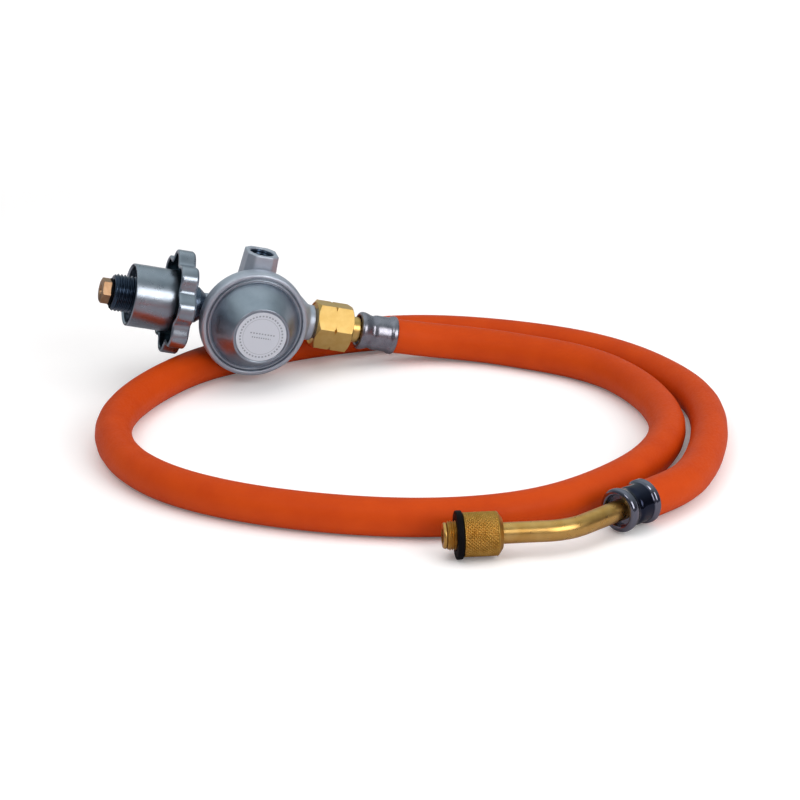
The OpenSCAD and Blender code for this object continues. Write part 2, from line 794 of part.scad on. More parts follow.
module seat_nozzle() {
    flange_r = inlet_bore_r - fixed_gap;
    body_r = valve_bore_r - fixed_gap;
    nose_x = nozzle_tip_x - 1.4;
    color("Gold") regulator_place() turned_x([
        [stem_end_x, orifice_d / 2], [stem_end_x, flange_r], [nozzle_shoulder_x, flange_r],
        [nozzle_shoulder_x, body_r], [nose_x, body_r], [nose_x, orifice_d / 2 + 1],
        [nozzle_tip_x, orifice_d / 2 + 0.4], [nozzle_tip_x, orifice_d / 2]
    ]);
}

// ---------- gauge port ----------

module port_plug() {
    color("Silver") regulator_place() difference() {
        translate([0, 0, port_floor + port_seal_t])
            cylinder(h = port_plug_top - port_floor - port_seal_t, r = port_r - fixed_gap);
        translate([0, 0, port_plug_top - 3]) cylinder(h = 4, r = 2.9, $fn = 6);
    }
}

module port_seal() {
    color("DimGray") regulator_place() translate([0, 0, port_floor]) difference() {
        cylinder(h = port_seal_t, r = port_r - fixed_gap);
        translate([0, 0, -1]) cylinder(h = port_seal_t + 2, r = port_r - 2);
    }
}

// ---------- cylinder connection ----------

module inlet_stem() {
    groove_x = o_ring_x - o_ring_d / 2 - 0.2;
    groove_end_x = o_ring_x + o_ring_d / 2 + 0.2;
    groove_r = stem_outer_r - o_ring_d + running_gap / 2;
    color("Silver") regulator_place() turned_x([
        [stem_end_x, stem_bore_r], [stem_end_x, inlet_bore_r - fixed_gap],
        [-inlet_boss_l, inlet_bore_r - fixed_gap], [-inlet_boss_l, inlet_boss_d / 2],
        [-inlet_boss_l - collar_cone_l, collar_d / 2], [collar_x, collar_d / 2],
        [collar_x, stem_outer_r], [groove_end_x, stem_outer_r],
        [groove_end_x, groove_r], [groove_x, groove_r], [groove_x, stem_outer_r],
        [stem_face_x, stem_outer_r], [stem_face_x, stem_bore_r]
    ]);
}

// A closed thimble of sintered mesh in the stem's bore.
module inlet_filter() {
    filter_l = 7;
    color("Tan") regulator_place() difference() {
        rod_x(stem_end_x - filter_l, stem_end_x - EPS, stem_bore_r - fixed_gap);
        rod_x(stem_end_x - filter_l + 0.8, stem_end_x + 1, stem_bore_r - 0.8);
    }
}

module stem_seal() {
    ring_r = stem_outer_r + running_gap / 2 + 0.02 - o_ring_d / 2;
    color("DimGray") regulator_place() translate([o_ring_x, 0, 0]) rotate([0, 90, 0])
        rotate_extrude() translate([ring_r, 0]) circle(d = o_ring_d);
}

module inlet_seal() {
    color("DimGray") regulator_place() turned_x([
        [seal_face_x, stem_bore_r], [seal_face_x, inlet_seal_d / 2 - 0.2],
        [seal_face_x + 0.2, inlet_seal_d / 2], [stem_face_x - 0.2, inlet_seal_d / 2],
        [stem_face_x, inlet_seal_d / 2 - 0.2], [stem_face_x, stem_bore_r]
    ]);
}

// A hexagonal tip with a threaded shank and the gas inlet through it.
module brass_tip() {
    shank_l = 6;
    nose_r = tip_af / 2 - 0.5;
    color("Gold") regulator_place() difference() {
        union() {
            chamfered_hex_x(tip_x, seal_face_x, tip_af, 0);
            rod_x(seal_face_x - EPS, stem_face_x + shank_l, stem_bore_r - fixed_gap);
        }
        rod_x(tip_x - 1, stem_face_x + shank_l + 1, 1);
        rod_x(tip_x - 1, tip_x + 0.8, nose_r - 2.2);
    }
}

module threaded_spigot() {
    color("DarkSlateGray") regulator_place() turned_x([
        [spigot_end_x, spigot_bore_r], [spigot_end_x, spigot_r - 1],
        [spigot_end_x + 1, spigot_r], [recess_x, spigot_r], [recess_x, shank_r],
        [web_x, shank_r], [web_x, spigot_bore_r]
    ]);
}

// Outline of the lobed rim, inset by a wall: wide round lobes and narrow valleys.
lobe_points = 12;
valley_ease = 3;
function lobed(inset) = [
    for (i = [0 : lobes * lobe_points - 1])
        let (
            a = 360 * i / (lobes * lobe_points),
            r = lobe_r - lobe_h * pow(abs(sin(lobes * a / 2)), valley_ease) - inset
        )
        [r * cos(a), r * sin(a)]
];

module lobed_bar(x0, x1, inset) {
    translate([x0, 0, 0]) rotate([lobe_turn, 0, 0]) rotate([0, 90, 0])
        linear_extrude(height = x1 - x0) polygon(lobed(inset));
}

module handwheel() {
    hub_back_x = web_x - web_t;
    color("LightSteelBlue") regulator_place() difference() {
        union() {
            difference() {
                lobed_bar(wheel_x, web_x, 0);
                lobed_bar(wheel_x - 1, hub_back_x, wheel_wall);
            }
            turned_x([
                [mouth_x, 0], [mouth_x, bell_r - 0.5], [mouth_x + 0.5, bell_r],
                [hub_back_x + 1, bell_r], [hub_back_x + 1, 0]
            ]);
        }
        turned_x([
            [mouth_x - 1, 0], [mouth_x - 1, bell_bore_r + 0.6], [mouth_x, bell_bore_r + 0.6],
            [mouth_x + 0.6, bell_bore_r], [recess_x, bell_bore_r], [recess_x, 0]
        ]);
        rod_x(recess_x - 1, web_x + 1, shank_r + fixed_gap);
    }
}

// ---------- outlet ----------

module outlet_gasket() {
    color("DimGray") regulator_place() difference() {
        rod_x(thread_end_x, tail_x, thread_r - 0.4);
        rod_x(thread_end_x - 1, tail_x + 1, outlet_bore_d / 2);
    }
}

module union_nut() {
    bore_r = thread_r + running_gap;
    mouth_r = outlet_boss_d / 2 + 1;
    mouth_l = 1.6;
    small_r = tail_collar_d / 2 + running_gap;
    color("Gold") regulator_place() difference() {
        chamfered_hex_x(nut_x, nut_end_x, nut_af, nut_turn);
        turned_x([
            [nut_x - 1, 0], [nut_x - 1, mouth_r], [nut_x, mouth_r],
            [nut_x + mouth_l, bore_r],
            [nut_shoulder_x, bore_r], [nut_shoulder_x, small_r], [nut_end_x + 1, small_r],
            [nut_end_x + 1, 0]
        ]);
    }
}

// A barbed tube that fills a hose end: outline points from x0 on, for one stretch of barb.
function barbs(x0, r, pitch, count) = [
    for (i = [0 : count - 1])
        each [[x0 + i * pitch, r - 0.5], [x0 + (i + 0.8) * pitch, r]]
];

module hose_tail() {
    flange_r = thread_r - fixed_gap;
    barb_x = ferrule_x + barb_start;
    barb_end_x = ferrule_end_x - 2;
    count = 4;
    color("Gold") regulator_place() turned_x(concat(
        [[tail_x, tail_bore_r], [tail_x, flange_r], [tail_shoulder_x, flange_r],
         [tail_shoulder_x, tail_collar_d / 2], [collar_end_x, tail_collar_d / 2],
         [collar_end_x, barb_r - 0.5]],
        barbs(barb_x, barb_r, (barb_end_x - barb_x) / count, count),
        [[barb_end_x, barb_r - 0.5], [barb_end_x, tail_bore_r]]
    ));
}

// Outline of a crimped ferrule along X. The closed end, with its bead, is at x0, and
// the flared lip is at x0 + l. Near the closed end it grips a tube of radius neck.
function ferrule_outline(x0, l, bead_r, neck) =
    let (
        bore = crimped_r + fixed_gap,
        waist = waist_d / 2,
        body = bore + ferrule_wall + 0.2
    )
    [[x0, neck], [x0, bead_r - 1.6], [x0 + 0.6, bead_r - 0.5], [x0 + 1.8, bead_r],
     [x0 + 3, bead_r - 0.4], [x0 + 4.6, waist + 0.3], [x0 + 5.6, waist],
     [x0 + 6.6, waist], [x0 + 7.8, body], [x0 + l - 2.2, body],
     [x0 + l - 1.4, bead_r - 0.2], [x0 + l - 0.6, bead_r], [x0 + l, bead_r - 0.4],
     [x0 + l, bore], [x0 + ferrule_cap_t, bore], [x0 + ferrule_cap_t, neck]];

module outlet_ferrule() {
    neck = barb_r - 0.5 + fixed_gap;
    color("DimGray") regulator_place()
        turned_x(ferrule_outline(ferrule_x + EPS, ferrule_l - EPS, bead_d / 2, neck));
}

// ---------- hose ----------

hose_sides = 12;
to_vertex = 1 / cos(180 / hose_sides);
hose_in = ferrule_cap_t + 0.2;
lip_clear = 1.2;
hose_path = concat(
    [for (s = [hose_in, ferrule_l, ferrule_l + lip_clear]) axis_point(ferrule_x + s)],
    HOSE_ROUTE,
    [for (s = [lip_clear, 0, hose_in - end_ferrule_l]) fitting_point(elbow_run + end_ferrule_l + s)]
);
hose_points = len(hose_path);
function gripped(i) = i < 2 || i > hose_points - 3;
hose_outer = [for (i = [0 : hose_points - 1]) gripped(i) ? crimped_r : hose_r * to_vertex];
hose_inner = [for (i = [0 : hose_points - 1])
    (gripped(i) ? crimped_bore_r : hose_bore / 2) * to_vertex];

function path_length(path, i = 1) =
    i < len(path) ? norm(path[i] - path[i - 1]) + path_length(path, i + 1) : 0;

module hose() {
    echo(hose_length = path_length(hose_path), spring_gap = spring_pitch - wire_d);
    color("OrangeRed") swept_tube(hose_path, hose_outer, hose_inner, hose_sides);
}

// ---------- end fitting ----------

module end_ferrule() {
    color("DimGray") fitting_place() hose_side() turned_x(
        ferrule_outline(elbow_run, end_ferrule_l, end_bead_d / 2, tube_r + fixed_gap)
    );
}

// The bent part of the tube, between its two straight runs. Its section differs by
// bend_ease from the straight runs, which reach into it by as much.
bend_ease = 0.05;
module bend(r) {
    translate([elbow_tangent, -elbow_r, 0]) rotate([0, 0, 90])
        rotate_extrude(angle = elbow_bend) translate([elbow_r, 0]) circle(r = r);
}

module elbow_tube() {
    barb_x = elbow_run + ferrule_cap_t + barb_start;
    barb_end_x = elbow_run + end_ferrule_l - 2;
    count = 3;
    run_start = elbow_tangent - bend_ease;
    color("Goldenrod") fitting_place() difference() {
        union() {
            bend(tube_r + bend_ease);
            turned_x([
                [run_start, 0], [run_start, tube_r],
                [thread_end + face_gap, tube_r],
                [thread_end + face_gap, nose_r], [thread_end + face_gap + nose_l - 0.4, nose_r],
                [thread_end + face_gap + nose_l, nose_r - 0.4],
                [thread_end + face_gap + nose_l, 0]
            ]);
            hose_side() turned_x(concat(
                [[run_start, 0], [run_start, tube_r], [barb_x, tube_r]],
                barbs(barb_x, barb_r, (barb_end_x - barb_x) / count, count),
                [[barb_end_x, barb_r - 0.5], [barb_end_x, 0]]
            ));
        }
        bend(tube_bore / 2 - bend_ease);
        rod_x(run_start, thread_end + face_gap + nose_l + 1, tube_bore / 2);
        hose_side() rod_x(run_start, barb_end_x + 1, tube_bore / 2);
    }
}

module knurled_screw() {
    knurl_r = knurl_d / 2;
    thread_r = end_thread_d / 2;
    color("Goldenrod") fitting_place() turned_x([
        [screw_start, screw_bore_r], [screw_start, knurl_r - 1.6],
        [screw_start + 1, knurl_r - 0.6], [screw_start + 1.6, knurl_r],
        [screw_end - 0.4, knurl_r], [screw_end, knurl_r - 0.4], [screw_end, washer_seat_r],
        [washer_end, washer_seat_r], [washer_end, thread_r], [thread_end - 0.5, thread_r],
        [thread_end, thread_r - 0.5], [thread_end, screw_bore_r]
    ]);
}

module end_washer() {
    r = washer_d / 2;
    color("DimGray") fitting_place() turned_x([
        [screw_end, washer_seat_r + fixed_gap], [screw_end, r - 0.4],
        [screw_end + 0.4, r], [washer_end - 0.4, r], [washer_end, r - 0.4],
        [washer_end, washer_seat_r + fixed_gap]
    ]);
}

body_casting();
bonnet();
bonnet_cap();
label_disc();
adjusting_plug();
main_spring();
diaphragm();
diaphragm_plate();
stem_nut();
lever();
lever_pin();
valve_piston();
valve_pad();
seat_nozzle();
port_plug();
port_seal();
inlet_stem();
inlet_filter();
stem_seal();
inlet_seal();
brass_tip();
threaded_spigot();
handwheel();
outlet_gasket();
union_nut();
hose_tail();
outlet_ferrule();
hose();
end_ferrule();
elbow_tube();
knurled_screw();
end_washer();
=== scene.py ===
"""Looks of a gas regulator with its orange hose and bent end fitting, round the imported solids.

The shapes are drawn in millimetres, in the frames that the solids are drawn in: the regulator's
runs along +X from the cylinder to the hose with the bonnet towards -Y, and the fitting's runs
along +X from the corner of its tube. The objects themselves are in metres.
"""

import math

import bmesh
import bpy
import numpy as np
from mathutils import Matrix, Vector


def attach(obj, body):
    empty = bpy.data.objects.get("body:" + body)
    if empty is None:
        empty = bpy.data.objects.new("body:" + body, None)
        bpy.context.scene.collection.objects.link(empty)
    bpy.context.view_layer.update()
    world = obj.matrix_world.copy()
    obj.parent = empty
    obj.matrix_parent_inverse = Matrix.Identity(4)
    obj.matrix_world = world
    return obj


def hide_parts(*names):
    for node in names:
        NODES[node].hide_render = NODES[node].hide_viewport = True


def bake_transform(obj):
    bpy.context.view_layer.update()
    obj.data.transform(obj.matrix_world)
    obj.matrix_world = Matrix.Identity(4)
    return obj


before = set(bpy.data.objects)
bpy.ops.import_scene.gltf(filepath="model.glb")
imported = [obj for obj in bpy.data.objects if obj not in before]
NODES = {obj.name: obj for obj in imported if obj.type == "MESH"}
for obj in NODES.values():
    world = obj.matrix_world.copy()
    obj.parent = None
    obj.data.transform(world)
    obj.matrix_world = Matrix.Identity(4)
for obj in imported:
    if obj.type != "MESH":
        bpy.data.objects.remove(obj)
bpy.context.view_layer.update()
scene = bpy.context.scene


def turn(degrees, axis):
    return Matrix.Rotation(math.radians(degrees), 4, axis)


TILT, LEAN = 13.6, 2
BEND = 38
MILLIMETRES = Matrix.Scale(0.001, 4)
REGULATOR = MILLIMETRES @ Matrix.Translation((0, -6, 28.1)) @ turn(TILT, "Y") @ turn(LEAN, "X")
BONNET = REGULATOR @ turn(-90, "Z")  # +X out of the round bonnet
FITTING = MILLIMETRES @ Matrix.Translation((75.8, -230.4, 9.2)) @ turn(172.6, "Z")
HOSE_SIDE = FITTING @ turn(180 + BEND, "Z")  # +X from the tube's corner to the hose

# places along X and radii that more than one section needs

WEB_X, WHEEL_X, MOUTH_X, RECESS_X = -27.6, -35.3, -52.5, -46.0  # handwheel
LOBES, LOBE_TURN, LOBE_H, LOBE_R = 8, math.radians(37), 3.5, 22.4
FERRULE_X, FERRULE_L = 49.6, 16.8
END_FERRULE_X, END_FERRULE_L = 26.2, 16
SHANK_R = 6.5  # of the spigot's shank, which holds the handwheel
TUBE_R, TUBE_BORE_R = 4.0, 2.8
SLIP_R = 4.1  # bore of what goes round the bent tube or the hose tail

# ---------- camera ----------

LOOKED_AT = (0.0556, -0.0535, 0)
CAMERA_DISTANCE = 1.269


def direction(azimuth, elevation):
    """The way from the object to a camera or lamp. Azimuth 0 is in front, 90 to the right."""
    a, e = math.radians(azimuth), math.radians(elevation)
    return Vector((math.sin(a) * math.cos(e), -math.cos(a) * math.cos(e), math.sin(e)))


camera = bpy.data.objects.new("camera", bpy.data.cameras.new("camera"))
scene.collection.objects.link(camera)
scene.camera = camera
back = direction(-14.1, 19.9)
camera.location = Vector(LOOKED_AT) + CAMERA_DISTANCE * back
camera.rotation_euler = (-back).to_track_quat("-Z", "Y").to_euler()
camera.data.lens = 135
camera.data.sensor_width = 36
camera.data.clip_start, camera.data.clip_end = 0.05, 20

# ---------- hose ----------

HOSE_R = 7.5
ROUTE = [  # a point without a height lies on the floor
    (86, -8.4, 8.9), (102, -14.8, 7.8), (118.4, -27), (132.6, -40.6), (143.8, -57),
    (150.4, -77.9), (152.4, -102), (148.8, -128), (138.5, -151.5), (122, -172),
    (100.5, -188.8), (76, -200.5), (50, -204), (24, -200.3), (-1, -191), (-24, -178),
    (-45, -161), (-61.5, -140), (-70.8, -115), (-72, -90), (-65.6, -63.8), (-50.8, -38.6),
    (-34.7, -20.6), (-18, -7.8), (0, 0), (20, 7), (46, 12), (74, 11.9), (100, 3.6),
    (123.5, -10.3), (144, -28), (159, -50.2), (168, -76), (170.7, -103),
    (165.5, -131.5), (155, -158.5), (144, -178.4), (131.6, -194.6, 8.4),
]
HIDDEN_L = 3  # length of full-bodied hose inside each ferrule's lip


def slopes(points, first, last):
    """Slope at each point of the smooth curve through the points, for given end directions."""
    n = len(points)
    h = np.linalg.norm(np.diff(points, axis=0), axis=1)
    matrix, right = np.zeros((n, n)), np.zeros((n, 3))
    matrix[0, 0] = matrix[-1, -1] = 1
    right[0], right[-1] = first, last
    for i in range(1, n - 1):
        a, b = h[i - 1], h[i]
        matrix[i, i - 1:i + 2] = b, 2 * (a + b), a
        right[i] = 3 * (b / a * (points[i] - points[i - 1]) + a / b * (points[i + 1] - points[i]))
    return np.linalg.solve(matrix, right), h


def smooth_curve(name, points, first, last, radius):
    """A tube along the smooth curve through the points, in metres."""
    points = np.array(points, float)
    slope, h = slopes(points, np.array(first), np.array(last))
    data = bpy.data.curves.new(name, "CURVE")
    data.dimensions = "3D"
    data.bevel_depth = radius
    data.bevel_resolution = 8
    data.resolution_u = 12
    data.use_fill_caps = True
    line = data.splines.new("BEZIER")
    line.bezier_points.add(len(points) - 1)
    for i, knot in enumerate(line.bezier_points):
        before = h[i - 1] if i else h[0]
        after = h[i] if i < len(h) else h[-1]
        knot.handle_left_type = knot.handle_right_type = "FREE"
        knot.co = points[i]
        knot.handle_left = points[i] - slope[i] * before / 3
        knot.handle_right = points[i] + slope[i] * after / 3
    obj = bpy.data.objects.new(name, data)
    scene.collection.objects.link(obj)
    return obj


def along(place, x):
    """The point at x on a frame's axis, in metres."""
    return place @ Vector((x, 0, 0))


hose_start = along(REGULATOR, FERRULE_X + FERRULE_L - HIDDEN_L)
hose_end = along(HOSE_SIDE, END_FERRULE_X + END_FERRULE_L - HIDDEN_L)
out_of_regulator = (along(REGULATOR, 1) - along(REGULATOR, 0)).normalized()
into_fitting = (along(HOSE_SIDE, 0) - along(HOSE_SIDE, 1)).normalized()
route = [Vector((*p, HOSE_R)[:3]) / 1000 for p in ROUTE]
hose = smooth_curve("gas_hose", [hose_start, *route, hose_end], out_of_regulator, into_fitting,
                    HOSE_R / 1000)

# ---------- shapes ----------


def soften(profile, steps=5):
    """An outline with a rounding at each point that gives one: (x, radius, reach)."""
    out = []
    for i, p in enumerate(profile):
        here = np.array(p[:2], float)
        if len(p) < 3 or i in (0, len(profile) - 1):
            out.append(here)
            continue
        before = np.array(profile[i - 1][:2], float) - here
        after = np.array(profile[i + 1][:2], float) - here
        la, lb = np.linalg.norm(before), np.linalg.norm(after)
        reach = min(p[2], 0.49 * la, 0.49 * lb)
        a, b = here + before / la * reach, here + after / lb * reach
        for t in np.linspace(0, 1, steps + 1):
            out.append((1 - t) ** 2 * a + 2 * t * (1 - t) * here + t * t * b)
    return np.array(out)


def divided(points, step=1.5):
    """The points of an outline, with more of them on its long stretches."""
    out = [points[0]]
    for a, b in zip(points[:-1], points[1:]):
        n = max(1, math.ceil(np.linalg.norm(b - a) / step))
        out += [a + (b - a) * k / n for k in range(1, n + 1)]
    return out


def lathe(profile, steps=144, swell=None):
    """Rows of points round X. swell(phi, x, r) is added to each radius."""
    phi = np.linspace(0, 2 * np.pi, steps, endpoint=False)
    rows = []
    for x, r in profile:
        radius = r + (swell(phi, x, r) if swell else 0 * phi)
        rows.append(np.stack([np.full(steps, x), -radius * np.sin(phi), radius * np.cos(phi)], 1))
    return np.array(rows)


def grid_object(name, rows, place, closed=False):
    """An object whose surface joins rows of points, each row a ring."""
    n_rows, n = rows.shape[:2]
    points = rows.reshape(-1, 3) @ np.array(place.to_3x3()).T + np.array(place.translation)
    faces = []
    for i in range(n_rows if closed else n_rows - 1):
        a, b = i * n, (i + 1) % n_rows * n
        faces += [(a + k, a + (k + 1) % n, b + (k + 1) % n, b + k) for k in range(n)]
    mesh = bpy.data.meshes.new(name)
    mesh.from_pydata(points.tolist(), [], faces)
    obj = bpy.data.objects.new(name, mesh)
    scene.collection.objects.link(obj)
    tidy(obj)
    return obj


def tidy(obj):
    """Joins double points, drops faces without area and turns the faces outwards."""
    bm = bmesh.new()
    bm.from_mesh(obj.data)
    bmesh.ops.remove_doubles(bm, verts=bm.verts, dist=1e-7)
    bmesh.ops.dissolve_degenerate(bm, edges=bm.edges, dist=1e-7)
    bmesh.ops.recalc_face_normals(bm, faces=bm.faces)
    bm.to_mesh(obj.data)
    bm.free()


def turned(name, profile, place, steps=144, swell=None, closed=False):
    return grid_object(name, lathe(divided(soften(profile)), steps, swell), place, closed)


def hex_bar(name, x0, x1, flats, degrees, place):
    """A hexagonal bar along X, with a corner at +Z before it is turned."""
    r = flats / math.sqrt(3)
    rows = []
    for x, size in ((x0, 0), (x0, r), (x1, r), (x1, 0)):
        rows.append([
            (x, -size * math.sin(math.radians(degrees + 60 * k)),
             size * math.cos(math.radians(degrees + 60 * k)))
            for k in range(6)
        ])
    return grid_object(name, np.array(rows), place)


def settled(obj):
    """The object with its modifiers worked into its mesh."""
    bpy.context.view_layer.update()
    done = bpy.data.meshes.new_from_object(
        obj.evaluated_get(bpy.context.evaluated_depsgraph_get()))
    obj.modifiers.clear()
    obj.data = done
    return obj


def cut(obj, tool, operation="DIFFERENCE"):
    m = obj.modifiers.new("cut", "BOOLEAN")
    m.operation = operation
    m.solver = "EXACT"
    m.object = tool
    settled(obj)
    bpy.data.objects.remove(tool)
    return obj


def bevelled(obj, width, degrees=25):
    m = obj.modifiers.new("bevel", "BEVEL")
    m.width = width / 1000
    m.segments = 2
    m.limit_method = "ANGLE"
    m.angle_limit = math.radians(degrees)
    return settled(obj)


def recast(name, node, band, voxel, rounds):
    """A copy of a solid with a band round it and all its edges melted round, as a casting's."""
    obj = bpy.data.objects.new(name, NODES[node].data.copy())
    scene.collection.objects.link(obj)
    cut(obj, band, "UNION")
    m = obj.modifiers.new("remesh", "REMESH")
    m.mode = "VOXEL"
    m.voxel_size = voxel / 1000
    s = obj.modifiers.new("smooth", "SMOOTH")
    s.factor = 0.5
    s.iterations = rounds
    return settled(obj)


# ---------- materials ----------


def linear(r, g, b):
    """A colour given as it looks on a screen, 0 to 255, as the shader wants it."""
    return *(
        c / 12.92 if c <= 0.04045 else ((c + 0.055) / 1.055) ** 2.4
        for c in (r / 255, g / 255, b / 255)
    ), 1.0


class Nodes:
    """Adds nodes to the tree of one material or world."""

    def __init__(self, tree):
        self.tree = tree

    def join(self, value, socket):
        """Leads a socket into another one, or sets a plain value there."""
        if isinstance(value, bpy.types.NodeSocket):
            self.tree.links.new(value, socket)
        else:
            socket.default_value = value

    def node(self, kind, **inputs):
        made = self.tree.nodes.new("ShaderNode" + kind)
        for key, value in inputs.items():
            self.join(value, made.inputs[key])
        return made

    def maths(self, operation, a, b=0.0):
        made = self.node("Math")
        made.operation = operation
        self.join(a, made.inputs[0])
        self.join(b, made.inputs[1])
        return made.outputs[0]

    def mapped(self, value, low, high, start=0.3, end=0.7):
        """From low to high as the value goes from start to end."""
        made = self.node("MapRange", Value=value)
        for key, number in zip(("From Min", "From Max", "To Min", "To Max"),
                               (start, end, low, high)):
            made.inputs[key].default_value = number
        return made.outputs["Result"]

    def mixed(self, factor, a, b):
        """The colour a where the factor is 0, and b where it is 1."""
        made = self.node("Mix")
        made.data_type = "RGBA"
        for i, value in ((0, factor), (6, a), (7, b)):
            self.join(value, made.inputs[i])
        return made.outputs[2]

    def shaders(self, kind, *parts):
        """A shader that adds or mixes others."""
        made = self.node(kind)
        for i, value in enumerate(parts):
            self.join(value, made.inputs[i])
        return made.outputs[0]


class Finish(Nodes):
    """A procedural material: a Principled shader with noise in its colour, gloss and relief."""

    def __init__(self, name, colour, metallic=0.0, **values):
        self.material = bpy.data.materials.new(name)
        self.material.use_nodes = True
        super().__init__(self.material.node_tree)
        self.shader = self.tree.nodes["Principled BSDF"]
        self.colour = self.shader.inputs["Base Color"]
        self.colour.default_value = colour
        self.shader.inputs["Metallic"].default_value = metallic
        for socket, value in values.items():
            self.shader.inputs[socket.replace("_", " ")].default_value = value
        self.place = self.node("TexCoord").outputs["Object"]

    def noise(self, size, detail):
        """Noise whose grains are about size millimetres."""
        made = self.node("TexNoise", Vector=self.place, Scale=1000 / size, Detail=detail)
        return made.outputs["Fac"]

    def rough(self, size, low, high):
        """Roughness between two values, in patches."""
        self.join(self.mapped(self.noise(size, 3.0), low, high), self.shader.inputs["Roughness"])
        return self

    def recolour(self, mask, other):
        """Another colour where the mask is 1."""
        here = tuple(self.colour.default_value)
        if self.colour.is_linked:
            here = self.colour.links[0].from_socket
        self.join(self.mixed(mask, here, other), self.colour)

    def tone(self, size, other):
        """Patches of another colour."""
        self.recolour(self.mapped(self.noise(size, 4.0), 0.0, 1.0, 0.35), other)
        return self

    def relief(self, *layers):
        """Bumps, each given by its size and its height in millimetres."""
        normal = None
        for size, height in layers:
            bump = self.node("Bump", Strength=1, Distance=height / 1000,
                             Height=self.noise(size, 2.0))
            if normal:
                self.join(normal, bump.inputs["Normal"])
            normal = bump.outputs["Normal"]
        self.join(normal, self.shader.inputs["Normal"])
        return self

    def axes(self, place):
        """Sockets for X, Y and Z in millimetres in a frame."""
        location, rotation, scale = place.inverted().decompose()
        local = self.node("Mapping", Vector=self.place, Location=location,
                          Rotation=rotation.to_euler(), Scale=scale)
        return self.node("SeparateXYZ", Vector=local.outputs["Vector"]).outputs

    def radius(self, axes):
        """The distance from a frame's X axis."""
        squares = [self.maths("MULTIPLY", axes[key], axes[key]) for key in "YZ"]
        return self.maths("SQRT", self.maths("ADD", *squares))

    def away(self, value, middle):
        return self.maths("ABSOLUTE", self.maths("SUBTRACT", value, middle))

    def between(self, value, low, high, ease=0.5):
        """1 where the value lies from low to high, eased to 0 over a short way outside."""
        half = (high - low) / 2
        return self.mapped(self.away(value, (low + high) / 2), 1.0, 0.0, half, half + ease)


ZINC = Finish("die_cast_zinc", linear(200, 206, 216), 0.85)
ZINC.rough(0.8, 0.42, 0.52).tone(6, linear(187, 194, 205)).relief((0.6, 0.004), (4, 0.015))
SATIN_ZINC = Finish("satin_zinc", linear(180, 189, 199), 1.0)
SATIN_ZINC.rough(0.8, 0.3, 0.4).tone(6, linear(166, 176, 187)).relief((0.6, 0.0015), (4, 0.01))
WHEEL = Finish("polished_zinc", linear(174, 181, 190), 1.0)
WHEEL.rough(3, 0.26, 0.34).tone(7, linear(159, 168, 178)).relief((5, 0.01))
STEEL = Finish("bright_steel", linear(176, 180, 184), 1.0).rough(0.6, 0.22, 0.34)
STEEL.relief((0.4, 0.004))
# Steel darkened as painted shade, for the port plug in its port and the inlet stem between the
# wheel and the casting.
PAINTED_SHADE_STEEL = Finish("painted_shade_steel", linear(92, 104, 120), 1.0).rough(0.6, 0.24, 0.36)
PAINTED_SHADE_STEEL.relief((0.4, 0.004))
BRASS = Finish("machined_brass", linear(238, 198, 122), 1.0).rough(0.7, 0.28, 0.38)
BRASS.tone(3, linear(229, 185, 106)).relief((0.5, 0.0015))
TUBE_BRASS = Finish("drawn_brass", linear(236, 189, 112), 1.0).rough(3, 0.26, 0.36)
TUBE_BRASS.tone(5, linear(222, 168, 88)).relief((5, 0.004))
OLD_BRASS = Finish("knurled_brass", linear(218, 168, 84), 1.0).rough(0.6, 0.32, 0.46)
OLD_BRASS.tone(2.5, linear(196, 144, 62)).relief((0.3, 0.006))
TIP_BRASS = Finish("tip_brass", linear(190, 153, 120), 1.0).rough(0.6, 0.34, 0.46)
TIP_BRASS.tone(2, linear(172, 131, 96)).relief((0.3, 0.005))
# Black oxide on the spigot's thread; on the gauge port's threads the same dark finish is painted
# shade inside the port.
BLACK_OXIDE_AND_PORT_SHADE = Finish("black_oxide", linear(58, 72, 90), 0.9).rough(0.7, 0.16, 0.26)
BLACK_OXIDE_AND_PORT_SHADE.relief((0.4, 0.004))
BLACK_PLASTIC = Finish("black_plastic", linear(30, 30, 32)).rough(0.6, 0.35, 0.5)
BLACK_PLASTIC.relief((0.3, 0.006))
FERRULE = Finish("crimped_steel", linear(164, 162, 170), 1.0).rough(0.9, 0.26, 0.34)
FERRULE.tone(3, linear(144, 142, 152)).relief((0.8, 0.001), (4, 0.008))
CHROME = Finish("dark_chrome", linear(130, 130, 142), 1.0).rough(0.9, 0.1, 0.18)
CHROME.relief((0.8, 0.001), (4, 0.008))
ORANGE = Finish("orange_rubber", linear(195, 68, 9), Specular_IOR_Level=0.12)
ORANGE.rough(1.2, 0.46, 0.6)
ORANGE.tone(14, linear(187, 62, 8)).relief((0.5, 0.008), (4, 0.03))
RUBBER = Finish("seal_rubber", linear(8, 5, 7), Specular_IOR_Level=0.1)
RUBBER.rough(0.6, 0.5, 0.65).relief((0.3, 0.01))
FILTER = Finish("sintered_bronze", linear(150, 112, 66), 1.0).rough(0.4, 0.5, 0.7)
FILTER.relief((0.25, 0.05))
LABEL = Finish("label_film", linear(186, 190, 200)).rough(0.8, 0.35, 0.45).relief((0.5, 0.004))


def waist():
    """1 on the end ferrule's waist, where a darker colour is a painted dark reflection."""
    return CHROME.between(
        CHROME.axes(HOSE_SIDE)["X"], END_FERRULE_X + 4.3, END_FERRULE_X + 12.8)


